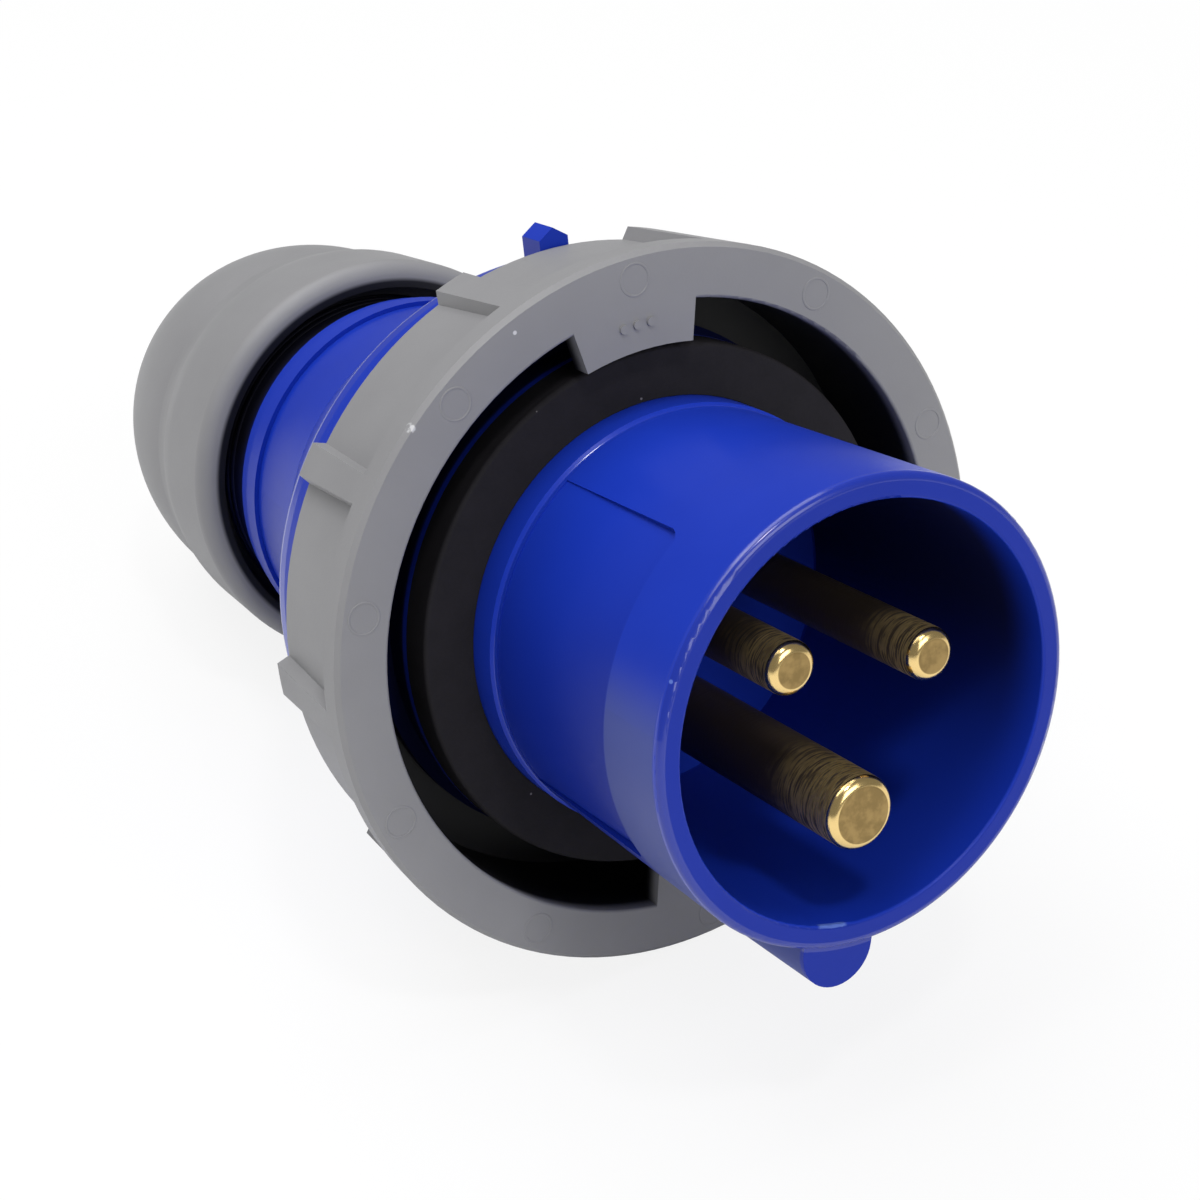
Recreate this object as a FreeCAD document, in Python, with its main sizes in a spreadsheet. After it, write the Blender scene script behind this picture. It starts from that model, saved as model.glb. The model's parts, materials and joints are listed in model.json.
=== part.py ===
import FreeCAD, Part
import math
import os
import Sketcher

# Industrial plug, two poles and earth, watertight: a shroud with a bayonet ring and a cable gland.
# Lengths are millimetres. Each piece is drawn about the plug's own axis: X runs back from the
# shroud's rim, Z is up and the key is straight down. An angle is counted from the key, towards
# the right for someone who faces the pins. At the end all the pieces are laid down together.

# Name, size and what it is
SIZES = [
    ("rim_radius", 21.75, "outside of the shroud"),
    ("shroud_wall", 2.3, "wall of the shroud"),
    ("cavity_depth", 35.0, "rim to the floor that the pins stand in"),
    ("rim_round", 0.7, "rounding of the rim's outer edge"),
    ("rim_inner_round", 0.3, "rounding of the rim's inner edge"),
    ("shroud_draft", 0.75, "how much thinner the shroud is at its foot than at its rim"),
    ("foot_rise", 0.3, "step of the low collar at the shroud's foot"),
    ("foot_length", 3.4, "length of that collar in front of the gasket"),
    ("panel_depth", 0.15, "floor of the bare panel under the shroud's thin end"),
    ("panel_front", 9.0, "rim to the panel's front edge"),
    ("panel_back", 28.6, "rim to the panel's rear edge"),
    ("panel_top", 134.0, "key to the panel's upper edge, degrees"),
    ("panel_sweep", 88.0, "how far round the panel reaches, degrees"),
    ("panel_round", 1.6, "rounding of the panel's front corners"),
    ("key_width", 7.5, "width of the polarising key"),
    ("key_reach", 3.9, "how far the key stands out of the shroud"),
    ("key_length", 24.0, "length of the key along the shroud"),
    ("key_setback", 0.35, "rim to the key's front"),
    ("floor_thickness", 6.0, "thickness of the floor"),
    ("pin_circle_radius", 8.75, "plug axis to pin axis"),
    ("pin_angle", 120.0, "step between pins, degrees"),
    ("pole_radius", 2.5, "the two thinner pins"),
    ("earth_radius", 3.5, "earth pin"),
    ("pole_setback", 1.6, "rim to the tips of the thinner pins"),
    ("earth_lead", 0.8, "how far the earth tip stands in front of the rim"),
    ("pole_tip_round", 1.05, "rounding of a thin pin's tip"),
    ("earth_tip_round", 1.0, "rounding of the earth pin's tip"),
    ("pin_fit", 0.05, "clearance round a pin or screw in its hole"),
    ("shank_rise", 0.3, "pin's shank in the floor over the pin's radius"),
    ("terminal_wall", 1.9, "terminal's outside over the pin's radius"),
    ("terminal_collar", 0.9, "collar's outside over the terminal's"),
    ("collar_thickness", 3.4, "thickness of the collar that the retainer holds"),
    ("terminal_length", 15.0, "floor to the terminal's end"),
    ("wire_radius", 1.7, "bore for the conductor"),
    ("wire_depth", 10.5, "depth of that bore"),
    ("screw_radius", 2.0, "terminal screw's thread"),
    ("screw_tip", 0.7, "pin's axis to the end of the terminal screw"),
    ("screw_from_end", 4.5, "terminal's end to the screw's axis"),
    ("screw_head_radius", 3.3, "terminal screw's head"),
    ("screw_head_height", 2.2, "height of that head"),
    ("slot_width", 0.9, "screwdriver slot"),
    ("slot_depth", 1.1, "depth of the slot"),
    ("retainer_thickness", 3.0, "plate that holds the terminals"),
    ("retainer_gap", 0.4, "retainer's edge to the spigot round it"),
    ("boss_inset", 5.4, "spigot's bore to the axis of a retainer screw"),
    ("boss_radius", 3.0, "boss under a retainer screw"),
    ("tap_radius", 1.5, "retainer screw's thread"),
    ("tap_depth", 7.0, "length of thread below the retainer"),
    ("tap_head_radius", 2.8, "retainer screw's head"),
    ("tap_head_height", 1.9, "height of that head"),
    ("gasket_front", 32.5, "rim to the gasket's face"),
    ("gasket_thickness", 3.8, "thickness of the gasket"),
    ("gasket_width", 5.1, "shroud's foot to the outside of the gasket"),
    ("gasket_round", 0.4, "rounding of the gasket's outer front edge"),
    ("lip_thickness", 1.2, "thickness of the lip behind the gasket"),
    ("drum_radius", 25.7, "drum that the bayonet ring turns on"),
    ("bead_rise", 1.2, "bead that keeps the ring from slipping forward, over the drum"),
    ("bead_width", 1.2, "width of that bead"),
    ("bead_back", 43.6, "rim to the back of the bead"),
    ("spigot_radius", 23.6, "outside of the spigot inside the handle"),
    ("spigot_wall", 2.6, "wall of the spigot"),
    ("spigot_length", 8.0, "length of the spigot"),
    ("spigot_fit", 0.1, "clearance between spigot and handle"),
    ("seal_radius", 0.72, "radius of the sealing ring's section"),
    ("seal_groove_depth", 1.4, "depth of its groove"),
    ("seal_groove_width", 2.2, "width of its groove"),
    ("seal_place", 3.2, "drum to the middle of its groove"),
    ("catch_width", 6.0, "width of a catch on the spigot"),
    ("catch_height", 0.8, "height of a catch"),
    ("catch_length", 1.6, "length of a catch along the plug"),
    ("catch_fit", 0.25, "room round a catch in its window"),
    ("ring_front", 30.9, "rim to the bayonet ring's front face"),
    ("ring_radius", 36.1, "outside of the bayonet ring at its front"),
    ("ring_wall", 5.2, "bore of the bayonet ring to its outside"),
    ("band_length", 3.0, "length of the full band at the front"),
    ("band_slope", 1.0, "length of the slope behind the band"),
    ("ring_taper", 1.0, "how much lower the ribs are at the rear than the ring at its front"),
    ("grip_depth", 1.4, "height of a rib over the grip recess at the front"),
    ("grip_slope", 0.9, "how much deeper the recess lies at the rear"),
    ("ring_web", 3.0, "thickness of the ring's rear web"),
    ("ring_play", 0.3, "axial play of the ring on each side of its web"),
    ("web_fit", 0.35, "radial clearance in the web's bore"),
    ("ring_edge", 0.45, "chamfer of the ring's front edge"),
    ("bore_edge", 0.3, "rounding of the edge of the ring's bore"),
    ("ring_angle", 15.2, "key to the middle of the ring's lower lug, degrees"),
    ("rib_count", 10.0, "grip ribs round the ring"),
    ("rib_angle", 32.5, "key to the first rib, degrees"),
    ("rib_top", 2.7, "width of a rib's top"),
    ("rib_foot", 4.1, "width of a rib at its foot"),
    ("lug_angle", 24.8, "width of a bayonet lug, degrees"),
    ("lug_fit", 0.5, "clearance between the gasket's outside and a lug's inner edge"),
    ("lug_thickness", 2.2, "thickness of a lug"),
    ("dot_radius", 0.42, "marking dots on the upper lug"),
    ("dot_height", 0.25, "height of the dots"),
    ("dot_step", 2.9, "step between dots, degrees"),
    ("dot_place", 2.5, "inner edge of the lug to the dots"),
    ("shoulder_radius", 31.4, "outside of the handle's shoulder behind the ring"),
    ("shoulder_length", 6.8, "length of that shoulder"),
    ("shoulder_round", 1.0, "rounding of the shoulder's rear edge"),
    ("flare_end", 73.0, "rim to the end of the handle's flare"),
    ("flare_radius", 21.9, "outside of the handle at the end of the flare"),
    ("collar_start", 84.6, "rim to the small collar before the nut"),
    ("barrel_radius", 20.5, "outside of the handle before that collar"),
    ("collar_radius", 21.0, "outside of that collar"),
    ("collar_length", 2.2, "length of that collar"),
    ("step_length", 2.4, "length of the smooth step behind it"),
    ("handle_wall", 2.6, "wall of the handle"),
    ("neck_radius", 19.2, "threaded neck of the handle"),
    ("neck_end", 111.5, "rim to the end of the neck"),
    ("neck_wall", 3.4, "wall of the neck"),
    ("ledge_start", 95.5, "rim to the ledge in the neck"),
    ("ledge_thickness", 2.5, "thickness of the ledge"),
    ("ledge_radius", 9.2, "bore of the ledge"),
    ("pointer_angle", 167.2, "key to the pointer on the shoulder, the other way round, degrees"),
    ("pointer_width", 3.2, "width of the pointer"),
    ("pointer_length", 3.4, "length of the pointer along the plug"),
    ("pointer_radius", 35.7, "plug axis to the pointer's tip"),
    ("cage_fit", 0.1, "clearance round the cage's foot"),
    ("cage_foot", 11.0, "length of the cage's solid foot"),
    ("cage_length", 25.0, "length of the whole cage"),
    ("finger_tip_radius", 13.4, "outside of the fingers at their tips"),
    ("finger_wall", 2.2, "wall of the fingers at their tips"),
    ("cage_bore", 11.6, "bore of the cage"),
    ("finger_count", 8.0, "fingers of the cage"),
    ("finger_slot", 1.4, "slot between fingers"),
    ("grommet_bore", 6.0, "bore of the grommet for the cable"),
    ("grommet_fit", 0.1, "clearance round the grommet"),
    ("grommet_length", 22.0, "length of the grommet"),
    ("grommet_lip", 1.0, "rounding of the grommet's mouths"),
    ("nut_front", 92.8, "rim to the front of the gland nut"),
    ("nut_radius", 24.1, "outside of the gland nut's front"),
    ("nut_mouth", 21.1, "bore of the nut's open mouth"),
    ("nut_mouth_depth", 4.0, "depth of that mouth"),
    ("nut_fit", 0.35, "clearance round the neck in the nut"),
    ("nut_skirt_end", 103.0, "rim to the end of the nut's straight skirt"),
    ("nut_skirt_radius", 23.7, "outside of the nut there"),
    ("nut_waist", 110.5, "rim to the nut's waist"),
    ("nut_waist_radius", 22.3, "outside of the nut there"),
    ("nut_sweep_radius", 10.4, "curves from the skirt down to the waist"),
    ("nut_dome_radius", 33.0, "curve of the nut's dome"),
    ("nut_brow", 128.5, "rim to the end of the dome"),
    ("nut_brow_radius", 18.45, "outside of the nut there"),
    ("nut_nose_curve", 46.0, "curve from the dome to the end face"),
    ("nut_end", 138.6, "rim to the nut's end face"),
    ("nut_end_radius", 11.2, "outside of that end face"),
    ("nut_hole", 9.0, "cable hole in the end face"),
    ("nut_end_wall", 3.2, "thickness of the nut's end"),
    ("nut_thread_end", 116.0, "rim to the end of the nut's thread bore"),
    ("nut_seat_radius", 15.6, "bore that the thrust ring sits in"),
    ("nut_shoulder_radius", 12.4, "bore behind the thrust ring"),
    ("nut_rim_round", 1.8, "rounding of the nut's front edge"),
    ("nut_travel", 3.0, "how far the nut can still be screwed on or off"),
    ("nut_gap", 0.3, "fingers to the thrust ring when the nut is fully screwed on"),
    ("thrust_bore", 10.6, "bore of the thrust ring"),
    ("thrust_thickness", 2.0, "thickness of the thrust ring"),
    ("thrust_fit", 0.3, "clearance round the thrust ring"),
    ("thrust_play", 0.1, "clearance behind the thrust ring"),
]

PARTS_FOLDER = "parts"
HALF_TURN = 180.0
AXIS = FreeCAD.Vector(1, 0, 0)


class Size:
    """A number together with the sheet formula that gives it, so that shapes stay tied to it."""

    def __init__(self, text, number):
        self.text = text
        self.number = number

    def __add__(self, other):
        other = as_size(other)
        return Size(f"({self.text} + {other.text})", self.number + other.number)

    def __sub__(self, other):
        other = as_size(other)
        return Size(f"({self.text} - {other.text})", self.number - other.number)

    def __mul__(self, other):
        other = as_size(other)
        return Size(f"({self.text} * {other.text})", self.number * other.number)

    def __truediv__(self, other):
        other = as_size(other)
        return Size(f"({self.text} / {other.text})", self.number / other.number)

    def __neg__(self):
        return Size(f"(-1 * {self.text})", -self.number)


def as_size(thing):
    """A plain number as a size."""
    return thing if isinstance(thing, Size) else Size(str(thing), float(thing))


class Dimensions:
    """The sheet's sizes by name."""

    def __init__(self, rows):
        for name, number, _ in rows:
            setattr(self, name, Size("dims." + name, number))


def sine(angle):
    """Sine of a size in degrees."""
    return Size(f"sin({angle.text} * 1 deg)", math.sin(math.radians(angle.number)))


def cosine(angle):
    """Cosine of a size in degrees."""
    return Size(f"cos({angle.text} * 1 deg)", math.cos(math.radians(angle.number)))


def other_side(hypotenuse, side):
    """The third side of a right triangle."""
    text = f"sqrt({hypotenuse.text} * {hypotenuse.text} - {side.text} * {side.text})"
    return Size(text, math.sqrt(hypotenuse.number**2 - side.number**2))


doc = FreeCAD.newDocument("industrial_plug")
sheet = doc.addObject("Spreadsheet::Sheet", "dims")
nodes = []
d = Dimensions(SIZES)
ZERO = as_size(0)

# Places along the plug that follow from the sizes
FLOOR_BACK = d.cavity_depth + d.floor_thickness
COLLAR_BACK = FLOOR_BACK + d.collar_thickness
RETAINER_BACK = COLLAR_BACK + d.retainer_thickness
TERMINAL_END = FLOOR_BACK + d.terminal_length
GASKET_BACK = d.gasket_front + d.gasket_thickness
RING_REAR = d.bead_back + d.ring_play + d.ring_web
DRUM_BACK = RING_REAR + d.ring_play
SPIGOT_END = DRUM_BACK + d.spigot_length
SHOULDER_BACK = DRUM_BACK + d.shoulder_length
COLLAR_END = d.collar_start + d.collar_length
STEP_END = COLLAR_END + d.step_length
LEDGE_BACK = d.ledge_start + d.ledge_thickness
CAGE_END = LEDGE_BACK + d.cage_length
THRUST_FRONT = CAGE_END + d.nut_travel + d.nut_gap
THRUST_BACK = THRUST_FRONT + d.thrust_thickness

# Radii that follow from the sizes
CAVITY = d.rim_radius - d.shroud_wall
FOOT = d.rim_radius - d.shroud_draft + d.foot_rise
GASKET_EDGE = FOOT + d.gasket_width
SPIGOT_BORE = d.spigot_radius - d.spigot_wall
BOSS_CIRCLE = SPIGOT_BORE - d.boss_inset
WEB_BORE = d.drum_radius + d.web_fit
RING_BORE = d.ring_radius - d.ring_wall
LUG_EDGE = GASKET_EDGE + d.lug_fit
RECESS = d.ring_radius - d.grip_depth
RECESS_BACK = RECESS - d.grip_slope
NECK_BORE = d.neck_radius - d.neck_wall

# Name, radius, angle from the key, rim to tip and rounding of each pin
PINS = [
    ("pole_left", d.pole_radius, -d.pin_angle, d.pole_setback, d.pole_tip_round),
    ("pole_right", d.pole_radius, d.pin_angle, d.pole_setback, d.pole_tip_round),
    ("earth", d.earth_radius, ZERO, -d.earth_lead, d.earth_tip_round),
]
BOSSES = [("left", -d.pin_angle / 2), ("right", d.pin_angle / 2)]


def fill_sheet():
    """One row a size: its name, its number and what it is."""
    for row, (name, number, note) in enumerate(SIZES, start=1):
        sheet.set(f"A{row}", name)
        sheet.set(f"B{row}", str(number))
        sheet.setAlias(f"B{row}", name)
        sheet.set(f"C{row}", note)
    doc.recompute()


def origin_part(body, role):
    """One of a body's own origin planes or axes."""
    return [feature for feature in body.Origin.OriginFeatures if feature.Role == role][0]


def new_body(name):
    """A sub-part, whose label names its file."""
    body = doc.addObject("PartDesign::Body", name)
    body.Label = name
    nodes.append(body)
    return body


def new_sketch(body, name, role, offset=ZERO, angle=ZERO):
    """A sketch on an origin plane, moved along the normal; its down side points to an angle."""
    sketch = body.newObject("Sketcher::SketchObject", name)
    sketch.AttachmentSupport = (origin_part(body, role), "")
    sketch.MapMode = "FlatFace"
    sketch.setExpression("AttachmentOffset.Base.z", offset.text)
    if angle is not ZERO:
        sketch.setExpression("AttachmentOffset.Rotation.Angle", (-angle).text)
    return sketch


def tie(sketch, kind, places, size):
    """A dimension of a sketch, bound to its formula."""
    index = sketch.addConstraint(Sketcher.Constraint(kind, *places, size.number))
    sketch.setExpression(f"Constraints[{index}]", size.text)


def tie_point(sketch, geometry, end, across, up):
    """Ties one point to its two coordinates."""
    for kind, axis, size in (("DistanceX", -2, across), ("DistanceY", -1, up)):
        if size is ZERO:
            sketch.addConstraint(Sketcher.Constraint("PointOnObject", geometry, end, axis))
        else:
            tie(sketch, kind, (-1, 1, geometry, end), size)


def curve_between(first, last, radius, side):
    """The short arc between two points, with its centre on the left or the right of the way."""
    if side == "right":
        first, last = last, first
    along = last - first
    left = FreeCAD.Vector(-along.y, along.x, 0).normalize()
    reach = math.sqrt(max(radius**2 - (along.Length / 2) ** 2, 0))
    centre = (first + last) * 0.5 + left * reach
    circle = Part.Circle(centre, FreeCAD.Vector(0, 0, 1), radius)
    start = math.atan2(first.y - centre.y, first.x - centre.x)
    end = math.atan2(last.y - centre.y, last.x - centre.x)
    return Part.ArcOfCircle(circle, start, end if end > start else end + 2 * math.pi)


def draw(sketch, corners):
    """A closed outline of corners (across, up), with (radius, side) added where an arc leaves one."""
    points = [FreeCAD.Vector(corner[0].number, corner[1].number, 0) for corner in corners]
    ends = []
    for index, corner in enumerate(corners):
        first = points[index]
        last = points[(index + 1) % len(points)]
        if len(corner) > 2:
            shape = curve_between(first, last, corner[2].number, corner[3])
        else:
            shape = Part.LineSegment(first, last)
        geometry = sketch.addGeometry(shape)
        turned = len(corner) > 2 and corner[3] == "right"
        ends.append((geometry, 2 if turned else 1, 1 if turned else 2))
    for index, corner in enumerate(corners):
        geometry, start, _ = ends[index]
        before, _, end = ends[index - 1]
        sketch.addConstraint(Sketcher.Constraint("Coincident", before, end, geometry, start))
        tie_point(sketch, geometry, start, corner[0], corner[1])
        if len(corner) > 2:
            tie(sketch, "Radius", (geometry,), corner[2])


def draw_circle(sketch, across, up, radius):
    """A circle tied to its centre and radius."""
    centre = FreeCAD.Vector(across.number, up.number, 0)
    circle = sketch.addGeometry(Part.Circle(centre, FreeCAD.Vector(0, 0, 1), radius.number))
    tie_point(sketch, circle, 3, across, up)
    tie(sketch, "Radius", (circle,), radius)


def draw_block(sketch, half, low, high):
    """A rectangle centred across."""
    draw(sketch, [(-half, low), (half, low), (half, high), (-half, high)])


def revolve(body, name, corners):
    """A solid of revolution about the plug's axis."""
    sketch = new_sketch(body, name + "_outline", "XY_Plane")
    draw(sketch, corners)
    feature = body.newObject("PartDesign::Revolution", name)
    feature.Profile = sketch
    feature.ReferenceAxis = (sketch, ["H_Axis"])
    feature.Angle = 360
    doc.recompute()
    return feature


def pad(body, name, sketch, length):
    """Material added along the sketch's normal."""
    feature = body.newObject("PartDesign::Pad", name)
    feature.Profile = sketch
    feature.setExpression("Length", length.text)
    doc.recompute()
    return feature


def cut(body, name, sketch, length):
    """Material taken away along the sketch's normal."""
    feature = body.newObject("PartDesign::Pocket", name)
    feature.Profile = sketch
    feature.Reversed = True
    feature.setExpression("Length", length.text)
    doc.recompute()
    return feature


def around(body, name, feature, count):
    """Repeats a feature all round the plug's axis."""
    pattern = body.newObject("PartDesign::PolarPattern", name)
    pattern.Originals = [feature]
    pattern.Axis = (origin_part(body, "X_Axis"), [""])
    pattern.Angle = 360
    pattern.setExpression("Occurrences", as_size(count).text)
    body.Tip = pattern
    doc.recompute()
    return pattern


def dress(body, name, kind, size, place, radius):
    """A fillet or chamfer on the round edges that lie at one place and radius about the axis."""
    base = body.Tip
    edges = []
    for number, edge in enumerate(base.Shape.Edges, start=1):
        if is_ring_edge(edge, place.number, radius.number):
            edges.append(f"Edge{number}")
    feature = body.newObject("PartDesign::" + kind, name)
    feature.Base = (base, edges)
    feature.setExpression("Radius" if kind == "Fillet" else "Size", size.text)
    doc.recompute()
    return feature


def is_ring_edge(edge, place, radius):
    """Whether an edge is a circle about the plug's axis with this place and radius."""
    if edge.Curve.TypeId != "Part::GeomCircle":
        return False
    centre = edge.Curve.Center
    near = abs(centre.x - place) < 0.01 and math.hypot(centre.y, centre.z) < 0.01
    return near and abs(edge.Curve.Radius - radius) < 0.01


def round_corners(body, name, size, place):
    """A fillet on the short radial edges that lie across the plug's axis at one place."""
    base = body.Tip
    edges = []
    for number, edge in enumerate(base.Shape.Edges, start=1):
        if is_radial_edge(edge, place.number):
            edges.append(f"Edge{number}")
    feature = body.newObject("PartDesign::Fillet", name)
    feature.Base = (base, edges)
    feature.setExpression("Radius", size.text)
    doc.recompute()
    return feature


def is_radial_edge(edge, place):
    """Whether an edge is a straight line that runs outwards from the plug's axis at this place."""
    if edge.Curve.TypeId != "Part::GeomLine":
        return False
    first = edge.Vertexes[0].Point
    last = edge.Vertexes[-1].Point
    near = abs(first.x - place) < 0.01 and abs(last.x - place) < 0.01
    turned = math.hypot(first.y, first.z) * math.hypot(last.y, last.z)
    return near and abs(first.y * last.z - first.z * last.y) < turned * 0.001


def across_at(radius, angle):
    """Sideways place of a point at a radius and an angle from the key."""
    return -(radius * sine(angle))


def up_at(radius, angle):
    """Height of that point."""
    return -(radius * cosine(angle))


def place_at(body, radius, angle):
    """Puts a piece drawn about its own axis at a radius and angle, with its own Z outwards."""
    turn = FreeCAD.Rotation(AXIS, HALF_TURN - angle.number)
    body.Placement = FreeCAD.Placement(turn.multVec(FreeCAD.Vector(0, 0, radius.number)), turn)


def add_key(body):
    """The polarising key: a rib with a round crest, straight down."""
    sketch = new_sketch(body, "key_outline", "YZ_Plane", d.key_setback)
    half = d.key_width / 2
    crest = -(d.rim_radius + d.key_reach - half)
    root = -(d.rim_radius - d.shroud_wall / 2)
    bottom = -(d.rim_radius + d.key_reach)
    draw(
        sketch,
        [
            (half, root),
            (half, crest, half, "right"),
            (ZERO, bottom, half, "right"),
            (-half, crest),
            (-half, root),
        ],
    )
    pad(body, "key", sketch, d.key_length)


def sink_panel(body):
    """The bare panel on the shroud's side, sunk a little below its surface."""
    sketch = new_sketch(body, "panel_outline", "YZ_Plane", d.panel_front)
    floor = d.rim_radius - d.shroud_draft - d.panel_depth
    outside = d.rim_radius + d.shroud_draft
    first = -d.panel_top
    last = d.panel_sweep - d.panel_top
    draw(
        sketch,
        [
            (across_at(floor, first), up_at(floor, first), floor, "right"),
            (across_at(floor, last), up_at(floor, last)),
            (across_at(outside, last), up_at(outside, last), outside, "left"),
            (across_at(outside, first), up_at(outside, first)),
        ],
    )
    cut(body, "panel", sketch, d.panel_back - d.panel_front)
    round_corners(body, "panel_corners", d.panel_round, d.panel_front)


def drill_pins(body):
    """The three holes that the pins pass through."""
    for use, radius, angle, _, _ in PINS:
        circle = d.pin_circle_radius
        sketch = new_sketch(body, use + "_hole_outline", "YZ_Plane", d.cavity_depth)
        hole = radius + d.shank_rise + d.pin_fit
        draw_circle(sketch, across_at(circle, angle), up_at(circle, angle), hole)
        cut(body, use + "_hole", sketch, d.floor_thickness)


def add_bosses(body):
    """Two bosses behind the floor, each with a blind hole for a retainer screw."""
    circle = BOSS_CIRCLE
    for side, angle in BOSSES:
        sketch = new_sketch(body, side + "_boss_outline", "YZ_Plane", FLOOR_BACK)
        draw_circle(sketch, across_at(circle, angle), up_at(circle, angle), d.boss_radius)
        pad(body, side + "_boss", sketch, d.collar_thickness)
        start = COLLAR_BACK - d.tap_depth
        sketch = new_sketch(body, side + "_boss_hole_outline", "YZ_Plane", start)
        draw_circle(sketch, across_at(circle, angle), up_at(circle, angle), d.tap_radius + d.pin_fit)
        cut(body, side + "_boss_hole", sketch, d.tap_depth)


def add_catches(body):
    """Three catches round the spigot that hold the handle."""
    sketch = new_sketch(body, "catch_outline", "YZ_Plane", SPIGOT_END - d.catch_length)
    inner = d.spigot_radius - d.spigot_wall / 2
    draw_block(sketch, d.catch_width / 2, inner, d.spigot_radius + d.catch_height)
    catch = pad(body, "catch", sketch, d.catch_length)
    around(body, "catches", catch, 3)


def front_shroud():
    """The front moulding: shroud, key, floor, ring drum and spigot in one piece."""
    body = new_body("front_shroud")
    foot_start = d.gasket_front - d.foot_length
    bead = d.drum_radius + d.bead_rise
    bead_start = d.bead_back - d.bead_width
    groove = DRUM_BACK + d.seal_place
    groove_floor = d.spigot_radius - d.seal_groove_depth
    revolve(
        body,
        "shroud",
        [
            (d.cavity_depth, ZERO),
            (d.cavity_depth, CAVITY),
            (ZERO, CAVITY),
            (ZERO, d.rim_radius),
            (foot_start, FOOT - d.foot_rise),
            (foot_start + d.foot_rise, FOOT),
            (GASKET_BACK, FOOT),
            (GASKET_BACK, GASKET_EDGE),
            (GASKET_BACK + d.lip_thickness, GASKET_EDGE),
            (GASKET_BACK + d.lip_thickness, d.drum_radius),
            (bead_start - d.bead_rise, d.drum_radius),
            (bead_start, bead),
            (d.bead_back, bead),
            (d.bead_back, d.drum_radius),
            (DRUM_BACK, d.drum_radius),
            (DRUM_BACK, d.spigot_radius),
            (groove - d.seal_groove_width / 2, d.spigot_radius),
            (groove - d.seal_groove_width / 2, groove_floor),
            (groove + d.seal_groove_width / 2, groove_floor),
            (groove + d.seal_groove_width / 2, d.spigot_radius),
            (SPIGOT_END, d.spigot_radius),
            (SPIGOT_END, SPIGOT_BORE),
            (FLOOR_BACK, SPIGOT_BORE),
            (FLOOR_BACK, ZERO),
        ],
    )
    dress(body, "rim_outside", "Fillet", d.rim_round, ZERO, d.rim_radius)
    dress(body, "rim_inside", "Fillet", d.rim_inner_round, ZERO, CAVITY)
    add_key(body)
    sink_panel(body)
    drill_pins(body)
    add_bosses(body)
    add_catches(body)


def contact_pin(use, radius, angle, tip, curve):
    """A turned pin with a round tip, a collar behind the floor and a screw terminal."""
    body = new_body("pin_" + use)
    terminal = radius + d.terminal_wall
    collar = terminal + d.terminal_collar
    revolve(
        body,
        "turned_" + use,
        [
            (tip, ZERO),
            (tip, radius - curve, curve, "right"),
            (tip + curve, radius),
            (d.cavity_depth, radius),
            (d.cavity_depth, radius + d.shank_rise),
            (FLOOR_BACK, radius + d.shank_rise),
            (FLOOR_BACK, collar),
            (COLLAR_BACK, collar),
            (COLLAR_BACK, terminal),
            (TERMINAL_END, terminal),
            (TERMINAL_END, d.wire_radius),
            (TERMINAL_END - d.wire_depth, d.wire_radius),
            (TERMINAL_END - d.wire_depth, ZERO),
        ],
    )
    sketch = new_sketch(body, "tapping_outline_" + use, "XY_Plane")
    draw_circle(sketch, TERMINAL_END - d.screw_from_end, ZERO, d.screw_radius + d.pin_fit)
    cut(body, "tapping_" + use, sketch, terminal)
    place_at(body, d.pin_circle_radius, angle)


def terminal_screw(use, radius, angle):
    """A slotted screw that clamps the conductor, set radially in the pin's terminal."""
    body = new_body("terminal_screw_" + use)
    seat = radius + d.terminal_wall
    place = TERMINAL_END - d.screw_from_end
    top = seat + d.screw_head_height
    sketch = new_sketch(body, "thread_outline_" + use, "XY_Plane", d.screw_tip)
    draw_circle(sketch, place, ZERO, d.screw_radius)
    pad(body, "thread_" + use, sketch, seat - d.screw_tip)
    sketch = new_sketch(body, "head_outline_" + use, "XY_Plane", seat)
    draw_circle(sketch, place, ZERO, d.screw_head_radius)
    pad(body, "head_" + use, sketch, d.screw_head_height)
    sketch = new_sketch(body, "slot_outline_" + use, "XY_Plane", top - d.slot_depth)
    ahead = place + d.screw_head_radius
    behind = place - d.screw_head_radius
    half = d.slot_width / 2
    draw(sketch, [(behind, -half), (ahead, -half), (ahead, half), (behind, half)])
    cut(body, "slot_" + use, sketch, d.slot_depth)
    place_at(body, d.pin_circle_radius, angle)


def contact_retainer():
    """The plate behind the terminals' collars."""
    body = new_body("contact_retainer")
    sketch = new_sketch(body, "plate_outline", "YZ_Plane", COLLAR_BACK)
    draw_circle(sketch, ZERO, ZERO, SPIGOT_BORE - d.retainer_gap)
    pad(body, "plate", sketch, d.retainer_thickness)
    for use, radius, angle, _, _ in PINS:
        circle = d.pin_circle_radius
        hole = radius + d.terminal_wall + d.pin_fit
        sketch = new_sketch(body, use + "_opening_outline", "YZ_Plane", COLLAR_BACK)
        draw_circle(sketch, across_at(circle, angle), up_at(circle, angle), hole)
        cut(body, use + "_opening", sketch, d.retainer_thickness)
    for side, angle in BOSSES:
        circle = BOSS_CIRCLE
        sketch = new_sketch(body, side + "_screw_hole_outline", "YZ_Plane", COLLAR_BACK)
        draw_circle(sketch, across_at(circle, angle), up_at(circle, angle), d.tap_radius + d.pin_fit)
        cut(body, side + "_screw_hole", sketch, d.retainer_thickness)


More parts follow.
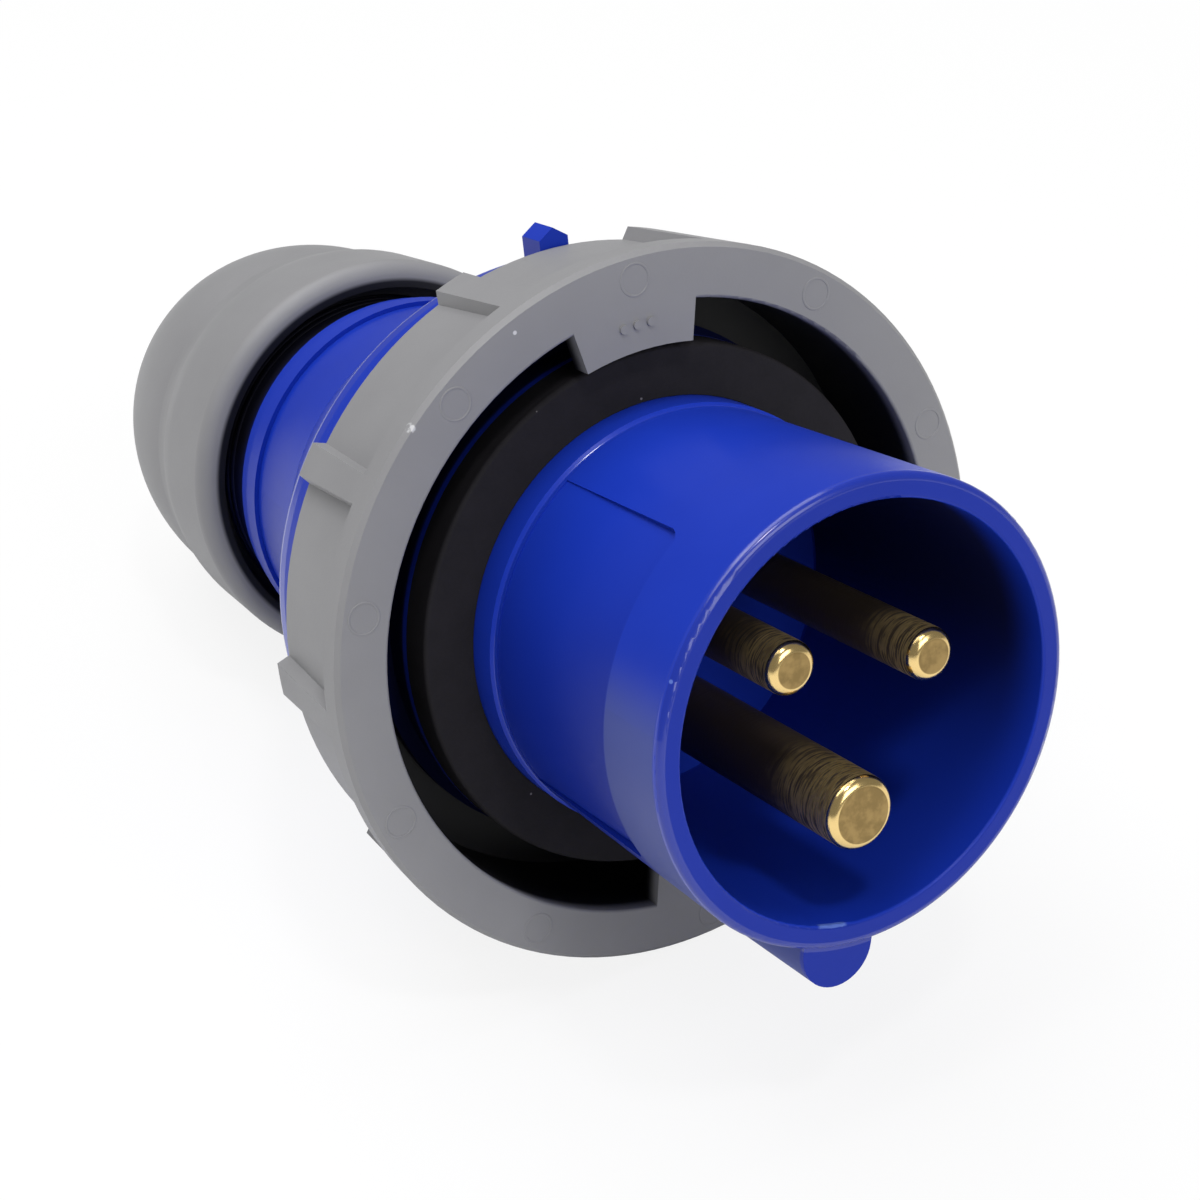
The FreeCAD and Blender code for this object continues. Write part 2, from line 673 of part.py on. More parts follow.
def retainer_screw(side, angle):
    """A screw through the retainer into its boss."""
    body = new_body("retainer_screw_" + side)
    start = COLLAR_BACK - d.tap_depth
    head = RETAINER_BACK + d.tap_head_height
    revolve(
        body,
        "screw_" + side,
        [
            (start, ZERO),
            (start + d.tap_radius, d.tap_radius),
            (RETAINER_BACK, d.tap_radius),
            (RETAINER_BACK, d.tap_head_radius),
            (head, d.tap_head_radius),
            (head, ZERO),
        ],
    )
    sketch = new_sketch(body, "drive_outline_" + side, "YZ_Plane", head - d.slot_depth)
    draw_block(sketch, d.slot_width / 2, -d.tap_head_radius, d.tap_head_radius)
    cut(body, "drive_" + side, sketch, d.slot_depth)
    place_at(body, BOSS_CIRCLE, angle)


def face_gasket():
    """The flat seal that the socket's face presses on."""
    body = new_body("face_gasket")
    inner = FOOT + d.pin_fit
    revolve(
        body,
        "gasket",
        [
            (d.gasket_front, inner),
            (d.gasket_front, GASKET_EDGE),
            (GASKET_BACK, GASKET_EDGE),
            (GASKET_BACK, inner),
        ],
    )
    dress(body, "front_edge", "Fillet", d.gasket_round, d.gasket_front, GASKET_EDGE)


def housing_seal():
    """The round sealing ring between the spigot and the handle."""
    body = new_body("housing_seal")
    room = (d.seal_groove_depth + d.spigot_fit) / 2
    sketch = new_sketch(body, "section", "XY_Plane")
    middle = d.spigot_radius - d.seal_groove_depth + room
    draw_circle(sketch, DRUM_BACK + d.seal_place, middle, d.seal_radius)
    feature = body.newObject("PartDesign::Revolution", "sealing_ring")
    feature.Profile = sketch
    feature.ReferenceAxis = (sketch, ["H_Axis"])
    feature.Angle = 360


def add_ribs(body):
    """Straight ribs that bridge the grip recess from the band to the rear face."""
    start = d.ring_front + d.band_length
    sketch = new_sketch(body, "rib_outline", "YZ_Plane", start, d.rib_angle)
    root = -(RECESS_BACK - d.grip_depth)
    foot = -other_side(RECESS_BACK, d.rib_foot / 2)
    crest = -other_side(d.ring_radius, d.rib_top / 2)
    wide = d.rib_foot / 2
    narrow = d.rib_top / 2
    draw(
        sketch,
        [
            (wide, root),
            (wide, foot),
            (narrow, crest, d.ring_radius, "right"),
            (-narrow, crest),
            (-wide, foot),
            (-wide, root),
        ],
    )
    rib = pad(body, "rib", sketch, RING_REAR - start)
    around(body, "ribs", rib, d.rib_count)


def taper_ribs(body):
    """Turns the band and the ribs down to a slight cone that is thinner at the rear."""
    sketch = new_sketch(body, "taper_outline", "XY_Plane")
    front = d.ring_front + d.ring_edge
    clear = d.ring_radius + d.grip_depth
    crest = d.ring_radius - d.ring_taper
    draw(sketch, [(front, d.ring_radius), (RING_REAR, crest), (RING_REAR, clear), (front, clear)])
    feature = body.newObject("PartDesign::Groove", "taper")
    feature.Profile = sketch
    feature.ReferenceAxis = (sketch, ["H_Axis"])
    feature.Angle = 360
    doc.recompute()


def add_lugs(body):
    """Two lugs that reach inwards at the ring's mouth."""
    sketch = new_sketch(body, "lug_outline", "YZ_Plane", d.ring_front)
    outer = RING_BORE + d.ring_wall / 2
    first = d.ring_angle - d.lug_angle / 2
    last = d.ring_angle + d.lug_angle / 2
    draw(
        sketch,
        [
            (across_at(outer, first), up_at(outer, first), outer, "right"),
            (across_at(outer, last), up_at(outer, last)),
            (across_at(LUG_EDGE, last), up_at(LUG_EDGE, last), LUG_EDGE, "left"),
            (across_at(LUG_EDGE, first), up_at(LUG_EDGE, first)),
        ],
    )
    lug = pad(body, "lug", sketch, d.lug_thickness)
    around(body, "lugs", lug, 2)


def add_dots(body):
    """Three small dots on the face of the upper lug."""
    sketch = new_sketch(body, "dots_outline", "YZ_Plane", d.ring_front - d.dot_height)
    place = LUG_EDGE + d.dot_place
    middle = d.ring_angle + HALF_TURN
    for angle in (middle - d.dot_step, middle, middle + d.dot_step):
        draw_circle(sketch, across_at(place, angle), up_at(place, angle), d.dot_radius)
    pad(body, "dots", sketch, d.dot_height * 2)


def bayonet_ring():
    """The grey coupling ring: a band with grip ribs, two lugs in front and a web behind."""
    body = new_body("bayonet_ring")
    band_end = d.ring_front + d.band_length
    web_front = RING_REAR - d.ring_web
    revolve(
        body,
        "ring",
        [
            (d.ring_front, RING_BORE),
            (d.ring_front, d.ring_radius),
            (band_end, d.ring_radius),
            (band_end + d.band_slope, RECESS),
            (RING_REAR, RECESS_BACK),
            (RING_REAR, WEB_BORE),
            (web_front, WEB_BORE),
            (web_front, RING_BORE),
        ],
    )
    dress(body, "front_bevel", "Chamfer", d.ring_edge, d.ring_front, d.ring_radius)
    dress(body, "bore_rounding", "Fillet", d.bore_edge, d.ring_front, RING_BORE)
    add_ribs(body)
    taper_ribs(body)
    add_lugs(body)
    add_dots(body)


def add_pointer(body):
    """A pointed lug on the shoulder that marks the ring's place."""
    sketch = new_sketch(body, "pointer_outline", "YZ_Plane", DRUM_BACK, -d.pointer_angle)
    half = d.pointer_width / 2
    root = -(d.shoulder_radius - d.handle_wall / 2)
    cheek = -(d.pointer_radius - d.pointer_width / 3)
    draw(
        sketch,
        [
            (half, root),
            (half, cheek),
            (ZERO, -d.pointer_radius),
            (-half, cheek),
            (-half, root),
        ],
    )
    pad(body, "pointer", sketch, d.pointer_length)


def cut_catch_windows(body):
    """Three blind windows inside the handle for the spigot's catches."""
    start = SPIGOT_END - d.catch_length - d.catch_fit
    sketch = new_sketch(body, "window_outline", "YZ_Plane", start)
    inner = d.spigot_radius - d.spigot_wall / 2
    outer = d.spigot_radius + d.catch_height + d.catch_fit
    draw_block(sketch, d.catch_width / 2 + d.catch_fit, inner, outer)
    window = cut(body, "window", sketch, d.catch_length + d.catch_fit * 2)
    around(body, "windows", window, 3)


def rear_housing():
    """The handle: a flared shell from the ring's shoulder to the threaded neck."""
    body = new_body("rear_housing")
    bore = d.spigot_radius + d.spigot_fit
    inside = d.flare_radius - d.handle_wall
    revolve(
        body,
        "handle",
        [
            (DRUM_BACK, bore),
            (DRUM_BACK, d.shoulder_radius),
            (SHOULDER_BACK, d.shoulder_radius),
            (d.flare_end, d.flare_radius),
            (d.collar_start, d.barrel_radius),
            (d.collar_start, d.collar_radius),
            (COLLAR_END, d.collar_radius),
            (COLLAR_END, d.barrel_radius),
            (STEP_END, d.barrel_radius),
            (STEP_END, d.neck_radius),
            (d.neck_end, d.neck_radius),
            (d.neck_end, NECK_BORE),
            (LEDGE_BACK, NECK_BORE),
            (LEDGE_BACK, d.ledge_radius),
            (d.ledge_start, d.ledge_radius),
            (d.ledge_start, NECK_BORE),
            (d.flare_end, inside),
            (SPIGOT_END + d.catch_fit * 2, bore),
        ],
    )
    dress(body, "shoulder_edge", "Fillet", d.shoulder_round, SHOULDER_BACK, d.shoulder_radius)
    add_pointer(body)
    cut_catch_windows(body)


def gland_cage():
    """The clamping cage: a foot in the neck and a crown of fingers."""
    body = new_body("gland_cage")
    foot_end = LEDGE_BACK + d.cage_foot
    outside = NECK_BORE - d.cage_fit
    revolve(
        body,
        "cage",
        [
            (LEDGE_BACK, d.cage_bore),
            (LEDGE_BACK, outside),
            (foot_end, outside),
            (CAGE_END, d.finger_tip_radius),
            (CAGE_END, d.finger_tip_radius - d.finger_wall),
            (foot_end, d.cage_bore),
        ],
    )
    sketch = new_sketch(body, "finger_slot_outline", "YZ_Plane", foot_end)
    draw_block(sketch, d.finger_slot / 2, d.cage_bore / 2, outside + d.finger_slot)
    slot = cut(body, "finger_slot", sketch, d.cage_length)
    around(body, "finger_slots", slot, d.finger_count)


def gland_grommet():
    """The rubber grommet that the fingers press on the cable."""
    body = new_body("gland_grommet")
    start = LEDGE_BACK
    outside = d.finger_tip_radius - d.finger_wall - d.grommet_fit
    end = start + d.grommet_length
    lip = d.grommet_lip
    revolve(
        body,
        "grommet",
        [
            (start, outside),
            (end, outside),
            (end, d.grommet_bore + lip, lip, "left"),
            (end - lip, d.grommet_bore),
            (start + lip, d.grommet_bore, lip, "left"),
            (start, d.grommet_bore + lip),
        ],
    )


def gland_thrust_ring():
    """The slippery ring between the nut and the fingers."""
    body = new_body("gland_thrust_ring")
    outside = d.nut_seat_radius - d.thrust_fit
    revolve(
        body,
        "washer",
        [
            (THRUST_FRONT, d.thrust_bore),
            (THRUST_FRONT, outside),
            (THRUST_BACK, outside),
            (THRUST_BACK, d.thrust_bore),
        ],
    )


def gland_nut():
    """The grey cap nut that closes the gland."""
    body = new_body("gland_nut")
    thread = d.neck_radius + d.nut_fit
    mouth = d.nut_front + d.nut_mouth_depth
    sweep_middle = (d.nut_skirt_end + d.nut_waist) / 2
    sweep_height = (d.nut_skirt_radius + d.nut_waist_radius) / 2
    revolve(
        body,
        "cap",
        [
            (d.nut_front, d.nut_mouth),
            (d.nut_front, d.nut_radius),
            (d.nut_skirt_end, d.nut_skirt_radius, d.nut_sweep_radius, "right"),
            (sweep_middle, sweep_height, d.nut_sweep_radius, "left"),
            (d.nut_waist, d.nut_waist_radius, d.nut_dome_radius, "right"),
            (d.nut_brow, d.nut_brow_radius, d.nut_nose_curve, "right"),
            (d.nut_end, d.nut_end_radius),
            (d.nut_end, d.nut_hole),
            (d.nut_end - d.nut_end_wall, d.nut_hole),
            (THRUST_BACK + d.thrust_play, d.nut_shoulder_radius),
            (THRUST_BACK + d.thrust_play, d.nut_seat_radius),
            (THRUST_FRONT, d.nut_seat_radius),
            (d.nut_thread_end, thread),
            (mouth, thread),
            (mouth, d.nut_mouth),
        ],
    )
    dress(body, "nut_rim", "Fillet", d.nut_rim_round, d.nut_front, d.nut_radius)


def build_pieces():
    """Every piece of the plug, about the plug's own axis."""
    front_shroud()
    for use, radius, angle, tip, curve in PINS:
        contact_pin(use, radius, angle, tip, curve)
        terminal_screw(use, radius, angle)
    contact_retainer()
    for side, angle in BOSSES:
        retainer_screw(side, angle)
    face_gasket()
    housing_seal()
    bayonet_ring()
    rear_housing()
    gland_cage()
    gland_grommet()
    gland_thrust_ring()
    gland_nut()
    doc.recompute()


def check_pieces():
    """Stops if a feature failed or a solid isn't sound."""
    for item in doc.Objects:
        if "Invalid" in item.State or "Error" in item.State:
            raise RuntimeError(f"{item.Label} did not build: {item.State}")
    for body in nodes:
        if body.Shape.isNull() or not body.Shape.isValid():
            raise RuntimeError(f"{body.Label} has no sound shape")


def lowest(label, turn):
    """How low a piece reaches below the plug's axis when the plug is turned."""
    shape = [body for body in nodes if body.Label == label][0].Shape.copy()
    shape.Placement = FreeCAD.Placement(FreeCAD.Vector(), turn) * shape.Placement
    return shape.optimalBoundingBox(False, False).ZMin


def resting_turn():
    """The plug lies on two ribs of its ring and on its nut, nose up, with the nose towards -Y."""
    roll = FreeCAD.Rotation(AXIS, d.rib_angle.number - HALF_TURN / d.rib_count.number)
    yaw = FreeCAD.Rotation(FreeCAD.Vector(0, 0, 1), HALF_TURN / 2)
    low = 0.0
    high = 30.0
    while high - low > 0.001:
        middle = (low + high) / 2
        turn = yaw * FreeCAD.Rotation(FreeCAD.Vector(0, 1, 0), middle) * roll
        if lowest("gland_nut", turn) > lowest("bayonet_ring", turn):
            low = middle
        else:
            high = middle
    return turn


def lay_down():
    """Turns all pieces to the resting pose and sets them on the floor, centred over the origin."""
    turn = resting_turn()
    whole = Part.makeCompound([body.Shape for body in nodes])
    whole.Placement = FreeCAD.Placement(FreeCAD.Vector(), turn)
    box = whole.optimalBoundingBox(False, False)
    laid = FreeCAD.Placement(FreeCAD.Vector(-box.Center.x, -box.Center.y, -box.ZMin), turn)
    for body in nodes:
        body.Placement = laid * body.Placement
    doc.recompute()


def write_pieces():
    """One file a piece, named by its label."""
    os.makedirs(PARTS_FOLDER, exist_ok=True)
    for body in nodes:
        body.Shape.exportStep(os.path.join(PARTS_FOLDER, body.Label + ".step"))


fill_sheet()
build_pieces()
check_pieces()
lay_down()
check_pieces()
write_pieces()
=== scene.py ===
import json
import math

import bpy
import numpy as np
from mathutils import Matrix


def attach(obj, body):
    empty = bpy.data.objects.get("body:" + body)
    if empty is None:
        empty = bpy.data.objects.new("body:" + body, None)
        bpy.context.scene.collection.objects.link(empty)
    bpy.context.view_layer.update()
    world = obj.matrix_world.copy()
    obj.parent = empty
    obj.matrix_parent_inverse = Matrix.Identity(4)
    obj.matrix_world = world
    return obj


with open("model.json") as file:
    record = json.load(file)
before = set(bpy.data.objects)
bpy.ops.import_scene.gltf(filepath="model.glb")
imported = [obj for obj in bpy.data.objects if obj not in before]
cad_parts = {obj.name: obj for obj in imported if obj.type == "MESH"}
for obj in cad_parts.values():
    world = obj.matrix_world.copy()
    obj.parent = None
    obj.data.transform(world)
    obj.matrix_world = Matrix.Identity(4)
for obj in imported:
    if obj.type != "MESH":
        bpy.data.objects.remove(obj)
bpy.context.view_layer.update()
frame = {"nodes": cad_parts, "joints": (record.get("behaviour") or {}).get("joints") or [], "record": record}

# Industrial plug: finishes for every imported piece, the small moulded and cut details, and the studio.
# Lengths below are millimetres unless a comment says metres; the scene itself is in metres.
MM = 0.001
WORLD_UP = np.array([0.0, 0.0, 1.0])

# The plug's own axes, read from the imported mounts: BACK runs from the rim to the cable,
# DOWN points to the key and SIDE to the right for someone who faces the pins
MOUNTS = {mount["name"]: mount for mount in frame["record"]["mounts"]}
JOINTS = {joint["name"]: joint for joint in frame["joints"]}
COUPLINGS = {coupling["joint"]: coupling for coupling in frame["record"]["behaviour"]["couplings"]}


def unit(vector):
    """The same direction with a length of one."""
    return np.asarray(vector, float) / np.linalg.norm(vector)


RIM = np.array(MOUNTS["shroud"]["pos_m"])
BACK = unit(MOUNTS["cable_entry"]["axis"])
TO_EARTH = np.array(MOUNTS["pin_earth"]["pos_m"]) - RIM
DOWN = unit(TO_EARTH - BACK * (TO_EARTH @ BACK))
SIDE = np.cross(DOWN, BACK)
AXES = np.stack([BACK, SIDE, DOWN])

# The photograph's camera, as back, side and down from the centre of the rim
CAMERA_PLACE = (-146.8, -123.3, -62.6)
CAMERA_AIM = (14.85, -19.18, -7.53)
CAMERA_ROLL = math.radians(5.51)
CAMERA_LENS = 69.7
CAMERA_NEAREST = 10.0
SENSOR = 36.0

# Name, direction from the plug in the camera's right, up and back, width and distance in metres, level
LAMPS = [
    ("key_panel", (-0.40, 0.70, 0.60), 0.45, 0.90, 0.26),
    ("top_panel", (-0.22, 0.93, 0.22), 0.80, 1.00, 0.58),
    ("front_fill", (0.55, 0.10, 0.83), 0.60, 1.10, 0.32),
    ("edge_lamp", (0.12, 0.62, 0.78), 0.12, 1.00, 0.20),
]

# The room's level as light and in gloss, and the floor, whose width is in metres
ROOM_LEVEL = 0.30
ROOM_GLOSS = 0.24
FLOOR_WIDTH = 6.0
FLOOR_COLOUR = (0.86, 0.86, 0.86, 1.0)
FLOOR_GLOW = 0.86
WHITE = (1.0, 1.0, 1.0, 1.0)

# Fine thread on the handle's neck
THREAD_START = 94.0
THREAD_END = 110.6
THREAD_RIDGE = 0.22
THREAD_HALF_WIDTH = 0.48
THREAD_FADE_TURNS = 0.25
NECK_RADIUS = 19.2
STEPS_PER_TURN = 96
RIDGE_POINTS = 10

# Ejector marks on the ring's front face
MARK_COUNT = 10
MARK_FIRST = 14.5
MARK_PLACE = 33.6
MARK_RADIUS = 1.5
MARK_HALF_WIDTH = 0.13
MARK_HEIGHT = 0.045
MARK_STEPS = 48

# In the places below a pair is where a change begins and is complete, or the limits of a stretch.
# Painted shade inside the shroud: its bore and floor, and where the painted shade sets in from the rim and
# upwards
CAVITY_RADIUS = 19.6
CAVITY_FLOOR = 34.6
CAVITY_ENTRY = (-0.5, 5.5)
CAVITY_UPWARD = (11.0, -8.0)
CAVITY_SHADE_BELOW = 0.12
CAVITY_SHADE_ABOVE = 0.80
FLOOR_RELIEF = 0.75

# Painted shade in the gap between the drum and the ring, and on the neck in the nut's mouth
DRUM_FOOT = 24.5
GAP_ENTRY = (36.8, 37.3)
GAP_END = 47.0
GAP_SHADE = 0.90
NECK_RIM = 20.6
NECK_ENTRY = (89.0, 93.0)
NECK_SHADE = 0.80

# The rim's face is a deeper blue, the shroud's left side gets painted shade that grows downwards, and the
# front band's left a painted reflection
FACE_BACK = 0.45
FACE_DEPTH = 0.45
OUTSIDE_RADIUS = 20.5
BAND_START = (0.7, 1.0)
BAND_END = (8.95, 8.75)
BAND_DOWNWARD = (-5.5, 1.5)
BAND_REFLECTION = 0.85
PANEL_REACH = (8.85, 28.6)
PANEL_DOWNWARD = (-15.0, 4.0)
PANEL_SHADE = 0.65

# Edges that use has polished: the rim's, the shroud's foot's and the handle's shoulder's
RIM_EDGE = (21.0, 22.0)
RIM_EDGE_BACK = 0.75
FOOT_RADIUS = 20.9
FOOT_EDGE = (28.55, 29.15)
SHOULDER_RADIUS = 30.3
SHOULDER_EDGE = 52.8

# Wear spots: place along the plug, radius, angle from the key in degrees, and size
RIM_SCUFF_LEFT = (0.1, 19.6, -4.5, 1.3)
RIM_SCUFF_RIGHT = (0.1, 19.6, -1.0, 1.0)
SCUFF_EDGE = (19.72, 19.56)
SCUFF_BACK = 0.6
RIM_NICK = (0.3, 21.6, -103.5, 0.22)
RING_NICK = (31.1, 35.8, -122.6, 0.55)
RING_FLECK = (30.9, 34.5, -143.5, 0.24)

# Painted shade in the ring's bore and in the nut's mouth, and the ring's front corner
RING_BORE = 31.0
RING_ENTRY = (31.05, 32.95)
RING_END = 50.0
RING_CORNER = 35.3
MOUTH_WALL = (22.3, 21.7)
MOUTH_REACH = (60.0, 97.5)

# Pins: how squarely tip and flat end face forward, and where along them the painted shade and tarnish of the
# shafts set in
TIP_FACING = (0.08, 0.25)
FLAT_FACING = (0.965, 0.990)
SHADE_AND_TARNISH_ENTRY = (3.5, 13.0)
SHADE_AND_TARNISH_RAGGED = 5.0
TURNED_FINER = 9.0


def point_at(back, radius, angle):
    """Points at places along the plug, radii and angles from the key in degrees."""
    turn = np.radians(angle)
    parts = np.broadcast_arrays(back, radius * np.sin(turn), radius * np.cos(turn))
    return RIM + MM * np.stack(parts, axis=-1) @ AXES


class Socket:
    """A node's output. An operator on it adds the Math node that it stands for."""

    def __init__(self, finish, output):
        self.finish = finish
        self.output = output

    def math(self, operation, *others):
        """A Math node on this value and others."""
        return self.finish.math(operation, self, *others)

    def __add__(self, other):
        return self.math("ADD", other)

    def __radd__(self, other):
        return self.finish.math("ADD", other, self)

    def __sub__(self, other):
        return self.math("SUBTRACT", other)

    def __rsub__(self, other):
        return self.finish.math("SUBTRACT", other, self)

    def __mul__(self, other):
        return self.math("MULTIPLY", other)

    def __rmul__(self, other):
        return self.finish.math("MULTIPLY", other, self)

    def __truediv__(self, other):
        return self.math("DIVIDE", other)

    def __rtruediv__(self, other):
        return self.finish.math("DIVIDE", other, self)

    def __pow__(self, other):
        return self.math("POWER", other)

    def __rpow__(self, other):
        return self.finish.math("POWER", other, self)

    def __lt__(self, other):
        return self.math("LESS_THAN", other)

    def __gt__(self, other):
        return self.math("GREATER_THAN", other)


class Finish:
    """The nodes of a material or of the room, with the plug's own coordinates at hand."""

    def __init__(self, name, owner=None):
        self.owner = owner or bpy.data.materials.new(name)
        self.owner.use_nodes = True
        self.tree = self.owner.node_tree
        self.surface = self.tree.nodes.get("Principled BSDF") or self.tree.nodes["Background"]

    def node(self, kind, settings=None, inputs=None, output=0):
        """Adds a node, sets it up, fills its sockets with values or links, and gives one output."""
        made = self.tree.nodes.new(kind)
        for name, value in (settings or {}).items():
            setattr(made, name, value)
        for name, value in (inputs or {}).items():
            if isinstance(value, Socket):
                self.tree.links.new(value.output, made.inputs[name])
            else:
                made.inputs[name].default_value = value
        return Socket(self, made.outputs[output])

    def math(self, operation, *values):
        """A Math node."""
        return self.node("ShaderNodeMath", {"operation": operation}, dict(enumerate(values)))

    def vector(self, operation, first, second, output=0):
        """A Vector Math node on two vectors."""
        inputs = {0: first, 1: second}
        return self.node("ShaderNodeVectorMath", {"operation": operation}, inputs, output)

    def between(self, value, start, end):
        """A smooth step from 0 at the start to 1 at the end, which may be the lower of the two."""
        settings = {"interpolation_type": "SMOOTHSTEP"}
        return self.node("ShaderNodeMapRange", settings, {0: value, 1: start, 2: end})

    def within(self, value, low, high):
        """1 from the low limit to the high one and 0 outside them."""
        return (value > low) * (value < high)

    def mix(self, factor, first, second):
        """A colour between two colours."""
        return self.node("ShaderNodeMix", {"data_type": "RGBA"}, {0: factor, 6: first, 7: second}, 2)

    def place(self):
        """The point on the piece, in metres."""
        return self.node("ShaderNodeTexCoord", output="Object")

    def along(self, direction):
        """How far the point lies from the rim's centre along a direction, in millimetres."""
        offset = self.vector("SUBTRACT", self.place(), RIM)
        return self.vector("DOT_PRODUCT", offset, direction / MM, 1)

    def facing(self, direction):
        """How squarely the surface faces a direction: 1 straight on, 0 edge on."""
        normal = self.node("ShaderNodeNewGeometry", output="Normal")
        return self.vector("DOT_PRODUCT", normal, direction, 1)

    def from_axis(self):
        """How far the point lies from the plug's axis, in millimetres."""
        side = self.along(SIDE)
        down = self.along(DOWN)
        return (side * side + down * down) ** 0.5

    def drawn_in(self, times):
        """The point on the piece, with lengths along the plug drawn out so that noise there is finer."""
        shift = self.along(BACK) * ((times - 1) * MM)
        extra = self.node("ShaderNodeVectorMath", {"operation": "SCALE"}, {0: BACK, "Scale": shift})
        return self.vector("ADD", self.place(), extra)

    def noise(self, size, detail=3.0, place=None):
        """Noise from 0 to 1 with features of about a size in millimetres."""
        inputs = {"Vector": place or self.place(), "Scale": 1 / (size * MM), "Detail": detail}
        inputs["Roughness"] = 0.55
        return self.node("ShaderNodeTexNoise", None, inputs)

    def specks(self, spacing, size, share):
        """Small round specks: cells at a spacing, of which a share holds a speck of a size."""
        inputs = {"Vector": self.place(), "Scale": 1 / (spacing * MM)}
        near = self.node("ShaderNodeTexVoronoi", None, inputs, "Distance")
        shade = self.node("ShaderNodeTexVoronoi", None, inputs, "Color")
        chance = self.node("ShaderNodeSeparateColor", None, {0: shade}, 0)
        return (near < size / spacing) * (chance < share)

    def spot(self, back, radius, angle, size):
        """One round spot about a point of the plug, with a soft edge."""
        gap = self.vector("DISTANCE", self.place(), point_at(back, radius, angle), 1) / MM
        return 1 - self.between(gap, size * 0.6, size)

    def bump(self, height, depth, normal=None):
        """A Bump node: a height from 0 to 1 stands for a depth in millimetres."""
        inputs = {"Height": height, "Strength": 1.0, "Distance": depth * MM}
        if normal is not None:
            inputs["Normal"] = normal
        return self.node("ShaderNodeBump", None, inputs)

    def set(self, **inputs):
        """Fills the shader's own sockets; a name's underscores stand for spaces."""
        for name, value in inputs.items():
            socket = self.surface.inputs[name.replace("_", " ")]
            if isinstance(value, Socket):
                self.tree.links.new(value.output, socket)
            else:
                socket.default_value = value
        return self.owner


def painted_blue_shade(finish, back, out):
    """How dark painted shade makes the blue: up inside the shroud, in the gap under the ring and on the
    neck.
    """
    upward = finish.between(finish.along(DOWN), *CAVITY_UPWARD)
    entry = finish.between(back, *CAVITY_ENTRY) * (1 - FLOOR_RELIEF * (back > CAVITY_FLOOR))
    cavity = (out < CAVITY_RADIUS) * entry * (CAVITY_SHADE_BELOW + CAVITY_SHADE_ABOVE * upward)
    gap = (out > DRUM_FOOT) * finish.between(back, *GAP_ENTRY) * (back < GAP_END) * GAP_SHADE
    neck = (out < NECK_RIM) * finish.between(back, *NECK_ENTRY) * NECK_SHADE
    return cavity + gap + neck


def blue_body(finish, back, out, waves):
    """The blue's colour: slow waves, deeper on the rim's face, painted shade on the left side and a painted
    reflection on the front band.
    """
    deep = (0.0070, 0.0290, 0.365, 1.0)
    clear = (0.0100, 0.0400, 0.465, 1.0)
    deeper_and_shaded_blue = (0.0045, 0.0170, 0.240, 1.0)
    painted_reflection_colour = (0.0600, 0.0850, 0.3000, 1.0)
    down = finish.along(DOWN)
    left = (out > OUTSIDE_RADIUS) * (finish.along(SIDE) < 0.0)
    band = finish.between(back, *BAND_START) * finish.between(back, *BAND_END)
    # Painted reflection on the front band's left, growing towards the bottom
    painted_reflection = left * band * finish.between(down, *BAND_DOWNWARD) * BAND_REFLECTION
    reach = finish.within(back, *PANEL_REACH)
    # Painted shade on the shroud's left side, darker towards the bottom
    panel = left * reach * finish.between(down, *PANEL_DOWNWARD) * PANEL_SHADE
    face = (out > CAVITY_RADIUS) * (back < FACE_BACK) * FACE_DEPTH
    plain = finish.mix(waves, deep, clear)
    return finish.mix(painted_reflection, finish.mix(panel + face, plain, deeper_and_shaded_blue), painted_reflection_colour)


def blue_scuffs(finish, back, out):
    """A scuffed streak on the rim's inner edge and a nick on its outer one."""
    scuff = finish.spot(*RIM_SCUFF_LEFT) + finish.spot(*RIM_SCUFF_RIGHT)
    streak = finish.between(out, *SCUFF_EDGE) * (back < SCUFF_BACK)
    return scuff * streak + finish.spot(*RIM_NICK)


def blue_edges(finish, back, out):
    """The edges that use has polished."""
    rim = finish.within(out, *RIM_EDGE) * (back < RIM_EDGE_BACK)
    foot = (out > FOOT_RADIUS) * finish.within(back, *FOOT_EDGE)
    return rim + foot + (out > SHOULDER_RADIUS) * (back > SHOULDER_EDGE)


def blue_polyamide():
    """Satin moulded blue with a fine grain and long soft waves, painted shade and a painted reflection,
    scuffs, and polished edges.
    """
    finish = Finish("blue_polyamide")
    waves = finish.noise(size=14.0, detail=2.0)
    grain = finish.noise(size=0.22, detail=4.0)
    back = finish.along(BACK)
    out = finish.from_axis()
    # Painted shade inside the shroud, in the gap under the ring and on the neck, mixed towards a near-black
    # colour
    shade = painted_blue_shade(finish, back, out)
    painted_shade_colour = (0.0045, 0.0045, 0.0120, 1.0)
    scuffed = (0.100, 0.170, 0.560, 1.0)
    body = finish.mix(shade, blue_body(finish, back, out, waves), painted_shade_colour)
    return finish.set(
        Base_Color=finish.mix(blue_scuffs(finish, back, out), body, scuffed),
        Roughness=0.24 + 0.08 * waves + 0.05 * grain + 0.25 * shade,
        Normal=finish.bump(grain, depth=0.005, normal=finish.bump(waves, depth=0.08)),
        Specular_IOR_Level=0.17,
        Coat_Weight=blue_edges(finish, back, out) * (0.8 + 0.2 * grain),
        Coat_Roughness=0.16,
    )


